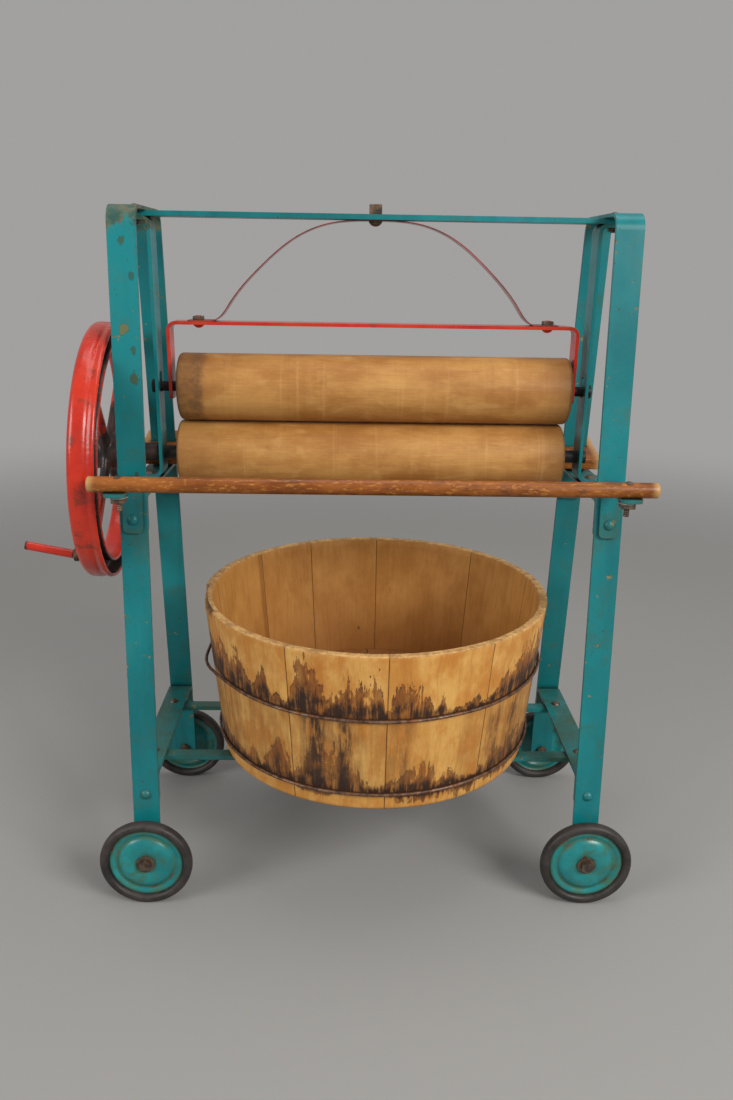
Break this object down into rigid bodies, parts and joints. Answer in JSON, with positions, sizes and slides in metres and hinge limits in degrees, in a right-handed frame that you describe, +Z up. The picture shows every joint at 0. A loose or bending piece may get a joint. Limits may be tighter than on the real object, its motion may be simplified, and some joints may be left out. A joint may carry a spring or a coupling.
{
  "type": "wringer washing machine",
  "caption": "Small hand-cranked wringer washing machine: strap-steel stand on wheels, sprung yoke over two wooden rollers, handwheel, and a staved wooden tub.",
  "frame": {"origin": "on the floor, midway between the two end frames and midway between the front and rear legs", "axes": "+X along the rollers, away from the handwheel; +Y towards the back; +Z up"},
  "size_m": [0.5874, 0.356, 0.6702],
  "materials": {
    "teal_paint": "worn semi-gloss enamel with rust at edges",
    "red_paint": "worn gloss enamel",
    "roller_wood": "bare turned maple, slightly darkened",
    "varnished_wood": "old satin varnish",
    "tub_wood": "bare softwood with dark water stains",
    "tyre_rubber": "matt aged rubber",
    "hoop_wire": "rusty drawn wire",
    "shaft_steel": "dark oiled steel",
    "fastener_steel": "dull steel with light rust"
  },
  "bodies": {
    "stand": {"axle_bolts": "fastener_steel", "axle_nuts": "fastener_steel", "axle_spacers": "fastener_steel", "axle_washers": "fastener_steel", "board_bolts": "fastener_steel", "board_nuts": "fastener_steel", "cross_bar_bolts": "teal_paint", "cross_bar_front": "teal_paint", "cross_bar_nuts": "fastener_steel", "cross_bar_rear": "teal_paint", "dowel_bolts": "fastener_steel", "dowel_nuts": "fastener_steel", "dowel_washers": "fastener_steel", "drip_board": "varnished_wood", "end_frame_left": "teal_paint", "end_frame_right": "teal_paint", "frame_top_bolts": "teal_paint", "frame_top_nuts": "fastener_steel", "front_bracket_left": "teal_paint", "front_bracket_right": "teal_paint", "front_dowel": "varnished_wood", "guide_foot_bolts": "teal_paint", "guide_foot_nuts": "fastener_steel", "guide_left": "teal_paint", "guide_right": "teal_paint", "leaf_spring": "red_paint", "lower_rail_left": "teal_paint", "lower_rail_right": "teal_paint", "rail_bolts": "teal_paint", "rail_nuts": "fastener_steel", "rear_bracket_left": "teal_paint", "rear_bracket_right": "teal_paint", "spring_centre_bolt": "fastener_steel", "spring_centre_nut": "fastener_steel", "top_bar": "teal_paint", "upper_rail_left": "teal_paint", "upper_rail_right": "teal_paint"},
    "yoke": {"yoke": "red_paint", "yoke_bolts": "red_paint", "yoke_nuts": "fastener_steel"},
    "upper_roller": {"upper_roller": "roller_wood", "upper_shaft": "shaft_steel", "upper_shaft_collars": "shaft_steel"},
    "drive": {"lower_roller": "roller_wood", "lower_shaft": "shaft_steel", "handwheel": "red_paint", "crank_handle": "red_paint", "crank_nut": "fastener_steel"},
    "tub": {"tub_staves": "tub_wood", "tub_bottom": "tub_wood", "tub_hoop_upper": "hoop_wire", "tub_hoop_lower": "hoop_wire"},
    "wheel_front_left": {"wheel_disc_front_left": "teal_paint", "tyre_front_left": "tyre_rubber"},
    "wheel_front_right": {"wheel_disc_front_right": "teal_paint", "tyre_front_right": "tyre_rubber"},
    "wheel_rear_left": {"wheel_disc_rear_left": "teal_paint", "tyre_rear_left": "tyre_rubber"},
    "wheel_rear_right": {"wheel_disc_rear_right": "teal_paint", "tyre_rear_right": "tyre_rubber"}
  },
  "joints": [
    {"name": "handwheel_spin", "type": "hinge", "parent": "stand", "child": "drive", "pos_m": [-0.259, 0, 0.438], "axis": [1, 0, 0], "continuous": true},
    {"name": "yoke_lift", "type": "slide", "parent": "stand", "child": "yoke", "axis": [0, 0, 1], "range_m": [0, 0.008], "stiffness_N_per_m": 2500, "springref_m": -0.006, "deforming": ["leaf_spring"]},
    {"name": "upper_roller_spin", "type": "hinge", "parent": "yoke", "child": "upper_roller", "pos_m": [0, 0, 0.5026], "axis": [1, 0, 0], "continuous": true},
    {"name": "tub_pull_out", "type": "slide", "parent": "stand", "child": "tub", "axis": [0, -1, 0], "range_m": [0, 0.42]},
    {"name": "wheel_front_left_spin", "type": "hinge", "parent": "stand", "child": "wheel_front_left", "pos_m": [-0.2204, -0.117, 0.0459], "axis": [0, 1, 0], "continuous": true},
    {"name": "wheel_front_right_spin", "type": "hinge", "parent": "stand", "child": "wheel_front_right", "pos_m": [0.2204, -0.117, 0.0459], "axis": [0, 1, 0], "continuous": true},
    {"name": "wheel_rear_left_spin", "type": "hinge", "parent": "stand", "child": "wheel_rear_left", "pos_m": [-0.2204, 0.117, 0.0459], "axis": [0, 1, 0], "continuous": true},
    {"name": "wheel_rear_right_spin", "type": "hinge", "parent": "stand", "child": "wheel_rear_right", "pos_m": [0.2204, 0.117, 0.0459], "axis": [0, 1, 0], "continuous": true}
  ],
  "couplings": [
    {"joint": "upper_roller_spin", "follows": "handwheel_spin", "ratio": -1}
  ]
}
